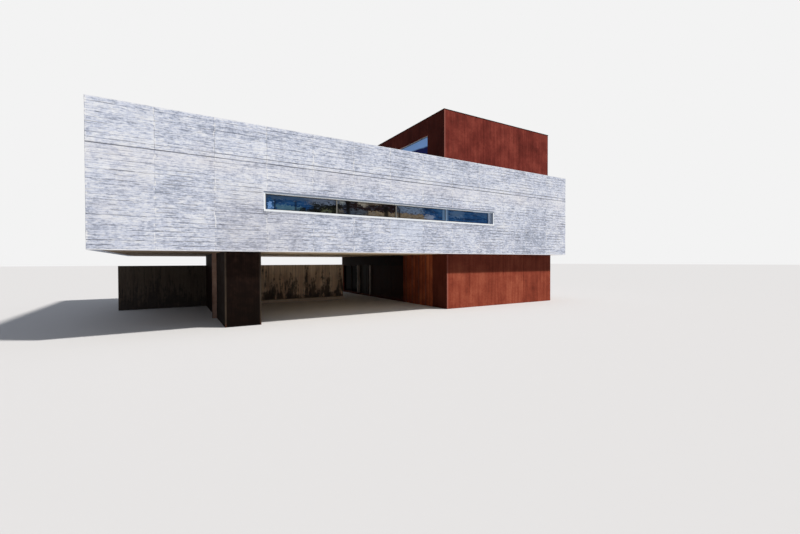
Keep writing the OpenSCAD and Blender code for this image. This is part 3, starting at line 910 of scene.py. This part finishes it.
@dataclass(frozen=True)
class Rect:
    """Upright rectangle on a face, along and up."""

    a0: float
    a1: float
    b0: float
    b1: float

    def minus(self, hole: "Rect") -> list["Rect"]:
        """Cuts a hole out.

        Args:
            hole: Rectangle that is taken away.

        Returns:
            Up to four rectangles that are left.
        """
        if hole.a0 >= self.a1 or hole.a1 <= self.a0 or hole.b0 >= self.b1 or hole.b1 <= self.b0:
            return [self]
        low, high = max(self.b0, hole.b0), min(self.b1, hole.b1)
        parts = [Rect(self.a0, self.a1, self.b0, low), Rect(self.a0, self.a1, high, self.b1),
                 Rect(self.a0, hole.a0, low, high), Rect(hole.a1, self.a1, low, high)]
        return [p for p in parts if p.a1 - p.a0 > 1e-6 and p.b1 - p.b0 > 1e-6]

    def shrunk(self, by: float) -> "Rect":
        """The rectangle without a margin on all four sides."""
        return Rect(self.a0 + by, self.a1 - by, self.b0 + by, self.b1 - by)


@dataclass(frozen=True)
class Face:
    """Part of a plane of the house that is covered with plates, boards or slabs."""

    side: Side
    plane: float
    columns: Sequence[float] = ()
    rows: Sequence[float] = ()
    joint: float = 0.0
    holes: Sequence[Rect] = ()
    narrowest: float = 0.012

    def quads(self) -> Iterator[list[Vector]]:
        """Lays out the cells, cut round the holes.

        Yields:
            Four corners of each cell, turning left as seen from outside.
        """
        for a0, a1 in zip(self.columns, self.columns[1:]):
            for b0, b1 in zip(self.rows, self.rows[1:]):
                parts = [Rect(a0, a1, b0, b1)]
                for hole in self.holes:
                    parts = [p for part in parts for p in part.minus(hole)]
                for part in parts:
                    part = part.shrunk(self.joint / 2)
                    if min(part.a1 - part.a0, part.b1 - part.b0) > self.narrowest:
                        yield self.corners(part)

    def corners(self, part: Rect) -> list[Vector]:
        """Finds the corners of one cell, turning left as seen from outside.

        Args:
            part: The cell.

        Returns:
            Four points.
        """
        places = [(part.a0, part.b0), (part.a1, part.b0), (part.a1, part.b1), (part.a0, part.b1)]
        points = [self.side.point(self.plane, a, b) for a, b in places]
        turn = (points[1] - points[0]).cross(points[2] - points[1])
        return points if turn.dot(Vector(self.side.value)) > 0 else points[::-1]


def breaks(low: float, high: float, pitch: float) -> list[float]:
    """The joints and both ends of a length, divided evenly into steps of about one pitch."""
    count = max(1, round((high - low) / pitch))
    return [low + (high - low) * i / count for i in range(count + 1)]


def around(front: str, back: str, pitch: float) -> list[tuple[Side, float, list[float]]]:
    """Finds the outer planes of a part of the house and the upright joints on each.

    Args:
        front: Node of its front wall.
        back: Node of its back wall.
        pitch: Distance between two joints.

    Returns:
        The front, the back, the left and the right, each as side, plane and joints.
    """
    low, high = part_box(front)
    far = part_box(back)[1]
    along, deep = breaks(low.x, high.x, pitch), breaks(low.y, far.y, pitch)
    return [(Side.FRONT, low.y, along), (Side.BACK, far.y, along),
            (Side.LEFT, low.x, deep), (Side.RIGHT, high.x, deep)]


def mesh_of(name: str, quads: Iterable[list[Vector]]) -> bpy.types.Mesh:
    """Makes a mesh of loose polygons.

    Args:
        name: Name of the mesh.
        quads: Corners of each polygon.

    Returns:
        The mesh.
    """
    points: list[Vector] = []
    faces: list[list[int]] = []
    for quad in quads:
        faces.append(list(range(len(points), len(points) + len(quad))))
        points.extend(quad)
    mesh = bpy.data.meshes.new(name)
    mesh.from_pydata(points, [], faces)
    return mesh


class Pattern(Graph, ABC):
    """A Geometry Nodes tree with named inputs, run once for a piece and then taken off again."""

    name: str
    sizes: tuple[str, ...]

    def __init__(self) -> None:
        """Builds the tree with its inputs: the given sizes, a seed and a finish."""
        super().__init__(bpy.data.node_groups.new(self.name, "GeometryNodeTree"))
        ends = self.tree.interface
        kinds = {"Geometry": "Geometry", **dict.fromkeys(self.sizes, "Float"), "Seed": "Int",
                 "Finish": "Material"}
        self.keys = {label: ends.new_socket(label, in_out="INPUT",
                                            socket_type="NodeSocket" + kind).identifier
                     for label, kind in kinds.items()}
        ends.new_socket("Geometry", in_out="OUTPUT", socket_type="NodeSocketGeometry")
        start = self.tree.nodes.new("NodeGroupInput").outputs
        made = self.lay_out({socket.name: socket for socket in start if socket.name})
        plain = self.add("GeometryNodeRealizeInstances", [made])
        painted = self.add("GeometryNodeSetMaterial", {0: plain, "Material": start["Finish"]})
        self.add("NodeGroupOutput", [painted])

    @abstractmethod
    def lay_out(self, given: dict[str, Socket]) -> Socket:
        """Builds the tree between its input and its last two nodes."""

    def run(self, name: str, source: bpy.types.Mesh, seed: int, material: bpy.types.Material,
            **sizes: float) -> bpy.types.Object:
        """Runs the tree on a mesh.

        Args:
            name: Name of the new piece.
            source: Mesh that goes in.
            seed: Seed of everything random.
            material: Finish of the piece.
            **sizes: The tree's sizes in metres, in lower case.

        Returns:
            An object at the origin with a plain mesh.
        """
        piece = bpy.data.objects.new(name, source)
        bpy.context.scene.collection.objects.link(piece)
        modifier = piece.modifiers.new(self.name, "NODES")
        modifier.node_group = self.tree
        for label, value in {"seed": seed, "finish": material, **sizes}.items():
            modifier[self.keys[label.capitalize()]] = value
        graph = bpy.context.evaluated_depsgraph_get()
        result = bpy.data.meshes.new_from_object(piece.evaluated_get(graph), depsgraph=graph)
        piece.modifiers.remove(modifier)
        piece.data = result
        result.name = name
        if material.name not in result.materials:
            result.materials.append(material)
        bpy.data.meshes.remove(source)
        return piece


class PlatePattern(Pattern):
    """Raises loose rectangles into closed plates of uneven thickness, bedded in the wall."""

    name = "plates_on_a_wall"
    sizes = ("Thinnest", "Thickest", "Bedding")

    def lay_out(self, given: dict[str, Socket]) -> Socket:
        """Sinks the rectangles, raises each by a random height and closes its back.

        Args:
            given: The tree's inputs by name.

        Returns:
            The plates.
        """
        normal = self.add("GeometryNodeInputNormal")
        sunk = self.add("Math:MULTIPLY", [given["Bedding"], -1.0])
        offset = self.add("VectorMath:SCALE", {0: normal, "Scale": sunk})
        bed = self.add("GeometryNodeSetPosition", {"Geometry": given["Geometry"], "Offset": offset})
        rise = self.add("FunctionNodeRandomValue:FLOAT",
                        {2: given["Thinnest"], 3: given["Thickest"], "Seed": given["Seed"],
                         "ID": self.add("GeometryNodeInputIndex")}, 1)
        height = self.add("Math:ADD", [rise, given["Bedding"]])
        raised = self.add("GeometryNodeExtrudeMesh:FACES",
                          {"Mesh": bed, "Offset Scale": height, "Individual": True})
        back = self.add("GeometryNodeFlipFaces", [bed])
        both = self.add("GeometryNodeJoinGeometry", [[raised, back]])
        return self.add("GeometryNodeMergeByDistance", {"Geometry": both, "Distance": 1e-5})


class PebblePattern(Pattern):
    """Scatters rounded pebbles over a roof."""

    name = "pebbles_on_a_roof"
    sizes = ("Spacing", "Smallest", "Largest")

    def lay_out(self, given: dict[str, Socket]) -> Socket:
        """Spreads points at a least distance and puts a turned, flattened ball on each.

        Args:
            given: The tree's inputs by name.

        Returns:
            The pebbles as instances.
        """
        seed = given["Seed"]
        points = self.add("GeometryNodeDistributePointsOnFaces:POISSON",
                          {"Mesh": given["Geometry"], "Distance Min": given["Spacing"],
                           "Density Max": 400.0, "Seed": seed})
        ball = self.add("GeometryNodeMeshIcoSphere", {"Radius": 1.0, "Subdivisions": 1})
        size = self.add("FunctionNodeRandomValue:FLOAT",
                        {2: given["Smallest"], 3: given["Largest"], "Seed": seed}, 1)
        squash = self.add("VectorMath:SCALE", {0: (1.0, 0.8, 0.55), "Scale": size})
        turn = self.add("FunctionNodeRandomValue:FLOAT_VECTOR",
                        {0: (-0.4, -0.4, 0.0), 1: (0.4, 0.4, 6.28), "Seed": seed})
        return self.add("GeometryNodeInstanceOnPoints",
                        {"Points": points, "Instance": ball, "Rotation": turn, "Scale": squash})


class BeadPattern(Pattern):
    """Runs a square bead round loose rectangles, such as the gasket round each pane."""

    name = "beads_round_glass"
    sizes = ("Width",)

    def lay_out(self, given: dict[str, Socket]) -> Socket:
        """Turns the rectangles' edges into closed curves and sweeps the bead along them.

        Args:
            given: The tree's inputs by name.

        Returns:
            The beads.
        """
        path = self.add("GeometryNodeMeshToCurve", [given["Geometry"]])
        profile = self.add("GeometryNodeCurvePrimitiveQuadrilateral:RECTANGLE",
                           {"Width": given["Width"], "Height": given["Width"]})
        return self.add("GeometryNodeCurveToMesh", {"Curve": path, "Profile Curve": profile})


@dataclass
class Workshop:
    """What every sub-assembly needs to make its pieces."""

    book: FinishBook
    plates: PlatePattern = field(default_factory=PlatePattern)
    pebbles: PebblePattern = field(default_factory=PebblePattern)
    beads: BeadPattern = field(default_factory=BeadPattern)
    bedding: float = 0.001

    def make(self, pattern: Pattern, name: str, quads: Iterable[list[Vector]], slot: Slot,
             seed: int = 0, **sizes: float) -> bpy.types.Object:
        """Makes a piece by a pattern, finishes it and fixes it to the house.

        Args:
            pattern: Tree that makes it.
            name: Name of the piece.
            quads: Corners of the rectangles that go in.
            slot: Slot that its finish comes from.
            seed: Seed of everything random.
            **sizes: The tree's sizes in metres, in lower case.

        Returns:
            The piece.
        """
        piece = pattern.run(name, mesh_of(name, quads), seed, self.book.choose(name, slot), **sizes)
        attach(piece, "house")
        LOG.info("%s: %d faces", name, len(piece.data.polygons))
        return piece

    def cover(self, name: str, faces: Iterable[Face], slot: Slot, seed: int, thinnest: float,
              thickest: float) -> bpy.types.Object:
        """Covers faces of the house with plates between two heights."""
        quads = (quad for face in faces for quad in face.quads())
        return self.make(self.plates, name, quads, slot, seed, thinnest=thinnest,
                         thickest=thickest, bedding=self.bedding)

    def gasket(self, name: str, face: Face, panes: Iterable[Rect], width: float) -> None:
        """Runs a bead along a face round each pane, inside the frame and against the glass."""
        quads = (face.corners(pane.shrunk(width / 2)) for pane in panes)
        self.make(self.beads, name, quads, Slot.BLACK, width=width)


@dataclass(frozen=True)
class Bars:
    """Widths of the bars of a window frame, and the number of its panes."""

    left: float
    right: float
    foot: float
    head: float
    mullion: float
    panes: int

    def openings(self, node: str, along: int) -> list[Rect]:
        """Works out the clear openings of a frame from its node's box.

        Args:
            node: Name of the frame's node.
            along: Axis along the frame, 0 or 1.

        Returns:
            One rectangle a pane.
        """
        low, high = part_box(node)
        clear = high[along] - low[along] - self.left - self.right
        width = (clear - self.mullion * (self.panes - 1)) / self.panes
        starts = [low[along] + self.left + i * (width + self.mullion) for i in range(self.panes)]
        return [Rect(a, a + width, low.z + self.foot, high.z - self.head) for a in starts]


@dataclass
class SubAssembly(ABC):
    """A part of the house that makes its own fine pieces."""

    shop: Workshop

    @abstractmethod
    def build(self) -> None:
        """Makes the pieces."""


@dataclass
class ConcreteBox(SubAssembly):
    """The long box: relief of the boards on four sides, slot windows and slabs on the roof."""

    bay: float = 1.700
    board: float = 0.150
    joint: float = 0.004
    low_relief: float = 0.001
    high_relief: float = 0.008
    slab: float = 0.600
    slab_joint: float = 0.006
    slab_height: float = 0.040
    uneven: float = 0.004
    bars: Bars = Bars(left=0.120, right=0.200, foot=0.060, head=0.070, mullion=0.045, panes=4)
    bar_joint: float = 0.002
    bead: float = 0.012
    pour: float = 5.810
    pour_joint: float = 0.012
    relief_seed: int = 7
    slab_seed: int = 5
    bar_seed: int = 1

    def build(self) -> None:
        """Makes the relief, the paving and the gaskets."""
        low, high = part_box("front_wall")
        # The joint between two pours is wider, and the strip between its two rows stays open
        half = self.pour_joint / 2
        rows = sorted([z for z in breaks(low.z, high.z, self.board) if abs(z - self.pour) > half]
                      + [self.pour - half, self.pour + half])
        for side, plane, columns in around("front_wall", "back_wall", self.bay):
            holes = self.slot_hole(side) if side in (Side.FRONT, Side.BACK) else []
            face = Face(side, plane, columns, rows, self.joint, holes)
            self.shop.cover(f"board_relief_{side.name.lower()}", [face], Slot.BOARD_MARKED,
                            self.relief_seed + len(side.name), self.low_relief, self.high_relief)
        self.pave()
        self.glaze()

    def slot_hole(self, side: Side) -> list[Rect]:
        """Hole of the slot window in the front or the back."""
        low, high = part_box(f"{side.name.lower()}_window_lining")
        return [Rect(low.x, high.x, low.z, high.z)]

    def pave(self) -> None:
        """Lays slabs on the roof, round the roof box."""
        low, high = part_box("roof_slab")
        box_low, box_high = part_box("upper_front_wall")[0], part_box("upper_back_wall")[1]
        face = Face(Side.TOP, high.z, breaks(low.x, high.x, self.slab),
                    breaks(low.y, high.y, self.slab), self.slab_joint,
                    [Rect(box_low.x, box_high.x, box_low.y, box_high.y)])
        self.shop.cover("roof_slabs", [face], Slot.DECK, self.slab_seed, self.slab_height,
                        self.slab_height + self.uneven)

    def glaze(self) -> None:
        """Frames both slot windows with separate bars and runs a gasket round each pane."""
        for side, sign in ((Side.FRONT, 1), (Side.BACK, -1)):
            name = f"{side.name.lower()}_window"
            low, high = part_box(f"{name}_frame")
            inner = high.y if sign > 0 else low.y
            panes = self.bars.openings(f"{name}_frame", 0)
            # Rails run through from end to end, and mullions stand between them
            face = Face(side, inner, [low.x, high.x], [low.z, panes[0].b0, panes[0].b1, high.z],
                        self.bar_joint, panes)
            deep = high.y - low.y
            piece = self.shop.cover(f"{name}_bars", [face], Slot.METAL, self.bar_seed, deep, deep)
            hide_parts(f"{name}_frame")
            self.shop.gasket(f"{name}_gaskets", Face(side, inner - sign * self.bead / 2), panes,
                             self.bead)


@dataclass
class RoofBox(SubAssembly):
    """The steel box on the roof: sheets on four sides, glazing gaskets and pebbles on top."""

    sheet: float = 1.275
    joint: float = 0.005
    thinnest: float = 0.004
    thickest: float = 0.007
    bars: Bars = Bars(left=0.040, right=0.040, foot=0.040, head=0.040, mullion=0.040, panes=2)
    bead: float = 0.014
    margin: float = 0.040
    pebble_spacing: float = 0.075
    smallest: float = 0.025
    largest: float = 0.045
    seed: int = 11
    pebble_seed: int = 3

    def build(self) -> None:
        """Makes the sheets, the gaskets and the pebbles."""
        low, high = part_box("upper_front_wall")
        start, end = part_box("upper_window_frame")
        faces = []
        for side, plane, columns in around("upper_front_wall", "upper_back_wall", self.sheet):
            holes = []
            if side is Side.LEFT:
                # The left side's sheets end at the window's edges
                holes = [Rect(start.y, end.y, start.z, end.z)]
                columns = [columns[0], *breaks(start.y, end.y, self.sheet), columns[-1]]
            faces.append(Face(side, plane, columns, [low.z, high.z], self.joint, holes))
        self.shop.cover("roof_box_sheets", faces, Slot.RUST, self.seed, self.thinnest,
                        self.thickest)
        self.shop.gasket("roof_box_gaskets", Face(Side.LEFT, end.x - self.bead / 2),
                         self.bars.openings("upper_window_frame", 1), self.bead)
        low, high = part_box("upper_roof")
        roof = Face(Side.TOP, high.z, [low.x, high.x], [low.y, high.y], 2 * self.margin)
        self.shop.make(self.shop.pebbles, "roof_pebbles", roof.quads(), Slot.DECK,
                       self.pebble_seed, spacing=self.pebble_spacing, smallest=self.smallest,
                       largest=self.largest)


@dataclass
class Core(SubAssembly):
    """The steel core below: sheets on its plain sides."""

    sheet: float = 1.275
    joint: float = 0.005
    thinnest: float = 0.004
    thickest: float = 0.006
    foot: float = 0.012
    seed: int = 13

    def build(self) -> None:
        """Makes the sheets."""
        low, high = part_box("core_front_wall")
        front, back, left, right = around("core_front_wall", "core_back_wall", self.sheet)
        corner = (*left[:2], [low.y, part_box("core_corner_plate")[1].y])
        faces = [Face(*wall, [low.z + self.foot, high.z - self.foot], self.joint)
                 for wall in (front, back, right, corner)]
        self.shop.cover("core_sheets", faces, Slot.RUST, self.seed, self.thinnest, self.thickest)


@dataclass
class Entrance(SubAssembly):
    """The glass beside the door."""

    bars: Bars = Bars(left=0.045, right=0.045, foot=0.045, head=0.045, mullion=0.045, panes=2)
    bead: float = 0.012

    def build(self) -> None:
        """Makes the gaskets."""
        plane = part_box("entry_window_frame")[1].x - self.bead / 2
        self.shop.gasket("entry_window_gaskets", Face(Side.LEFT, plane),
                         self.bars.openings("entry_window_frame", 1), self.bead)


@dataclass
class Store(SubAssembly):
    """The narrow store on the left: bright angles on its four upright corners."""

    leg: float = 0.048
    thickness: float = 0.004
    seed: int = 2

    def build(self) -> None:
        """Makes the corner angles."""
        low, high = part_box("store_front_wall")
        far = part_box("store_back_wall")[1]
        near, back = [low.y, low.y + self.leg], [far.y - self.leg, far.y]
        legs = [(Side.FRONT, low.y, [low.x, low.x + self.leg]),
                (Side.FRONT, low.y, [high.x - self.leg, high.x]),
                (Side.LEFT, low.x, near), (Side.RIGHT, high.x, near),
                (Side.LEFT, low.x, back), (Side.RIGHT, high.x, back)]
        faces = [Face(*leg, [low.z, high.z]) for leg in legs]
        self.shop.cover("store_corner_angles", faces, Slot.METAL, self.seed, self.thickness,
                        self.thickness)


@dataclass
class GardenWall(SubAssembly):
    """The low wall at the back: relief of its standing boards."""

    board: float = 0.150
    joint: float = 0.004
    low_relief: float = 0.001
    high_relief: float = 0.006
    below: float = 0.010
    seed: int = 17

    def build(self) -> None:
        """Makes the relief on the wall's front, back and left end."""
        low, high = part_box("low_wall")
        boxes = [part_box(name) for name in ("store_back_wall", "kerb")]
        cuts = [Rect(start.x, end.x, start.z - self.below, end.z) for start, end in boxes]
        walls = around("low_wall", "low_wall", self.board)[:3]
        faces = [Face(*wall, [low.z, high.z], self.joint, holes)
                 for wall, holes in zip(walls, (cuts, [], []))]
        self.shop.cover("garden_wall_relief", faces, Slot.STAINED, self.seed, self.low_relief,
                        self.high_relief)


@dataclass
class Studio:
    """Pale floor, one soft sun from the front right, an even sky and the camera."""

    floor: str = "#c6c6c6"
    bounce: str = "#c5c3c0"
    backdrop: str = "#f3f3f3"
    half_width: float = 300.0
    sky: str = "#e8eefb"
    sky_strength: float = 0.42
    sun: str = "#fffaf4"
    sun_strength: float = 3.89
    sun_softness: float = 4.0
    sun_from: tuple[float, float, float] = (0.420, -0.2765, 0.8644)
    eye: tuple[float, float, float] = (-8.986, -21.025, 2.287)
    turn: tuple[float, float, float] = (89.21, 0.146, -31.204)
    lens: float = 17.155
    sensor: float = 36.0
    view_to: float = 1000.0

    def build(self) -> None:
        """Makes the floor, the lights and the camera."""
        self.lay_floor()
        self.light_sky()
        lamp = bpy.data.lights.new("soft_sun", "SUN")
        lamp.energy = self.sun_strength
        lamp.angle = radians(self.sun_softness)
        lamp.color = srgb(self.sun)[:3]
        toward = Vector(self.sun_from).to_track_quat("Z", "Y")
        self.put(lamp).rotation_euler = toward.to_euler()
        view = bpy.data.cameras.new("camera")
        view.lens = self.lens
        view.sensor_width = self.sensor
        view.clip_end = self.view_to
        camera = self.put(view)
        camera.location = self.eye
        camera.rotation_euler = Euler([radians(angle) for angle in self.turn])
        bpy.context.scene.camera = camera

    def put(self, data: bpy.types.ID) -> bpy.types.Object:
        """Puts something into the scene.

        Args:
            data: Its mesh, light or lens, whose name it takes.

        Returns:
            The object.
        """
        thing = bpy.data.objects.new(data.name, data)
        bpy.context.scene.collection.objects.link(thing)
        return thing

    def seen(self, graph: Graph) -> Socket:
        """Finds the rays that come from the camera, from gloss and through glass.

        Args:
            graph: Tree of the floor or the sky.

        Returns:
            A level of 1 for them and 0 for all others.
        """
        paths = graph.add("LightPath").node.outputs
        first = graph.add("Math:MAXIMUM", [paths["Is Camera Ray"], paths["Is Glossy Ray"]])
        return graph.add("Math:MAXIMUM", [first, paths["Is Transmission Ray"]])

    def lay_floor(self) -> None:
        """Makes the floor, which looks paler than the light that it sends back."""
        far = self.half_width
        corners = [Vector(place) for place in
                   ((-far, -far, 0.0), (far, -far, 0.0), (far, far, 0.0), (-far, far, 0.0))]
        mesh = mesh_of("studio_floor", [corners])
        material = bpy.data.materials.new("matt_studio_floor")
        material.use_nodes = True
        graph = Graph(material.node_tree)
        mix = {0: self.seen(graph), 6: srgb(self.bounce), 7: srgb(self.floor)}
        graph.add("OutputMaterial", [graph.add("BsdfDiffuse", [graph.add("Mix:RGBA", mix, 2)])])
        mesh.materials.append(material)
        self.put(mesh)

    def light_sky(self) -> None:
        """Makes the even light all round, with a pale backdrop."""
        world = bpy.data.worlds.new("even_sky")
        world.use_nodes = True
        graph = Graph(world.node_tree)
        light = graph.add("Background", [srgb(self.sky), self.sky_strength])
        drop = graph.add("Background", [srgb(self.backdrop), 1.0])
        graph.add("OutputWorld", [graph.add("MixShader", [self.seen(graph), light, drop])])
        bpy.context.scene.world = world


def main() -> None:
    """Builds the house's fine pieces in order and reports each."""
    logging.basicConfig(level=logging.INFO, format="%(message)s")
    bpy.context.scene.view_settings.view_transform = "Standard"
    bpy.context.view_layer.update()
    shop = Workshop(FinishBook())
    shop.book.dress_model()
    for part in (ConcreteBox, RoofBox, Core, Entrance, Store, GardenWall):
        part(shop).build()
        LOG.info("%s: done", part.__name__)
    Studio().build()


if __name__ == "__main__":
    main()
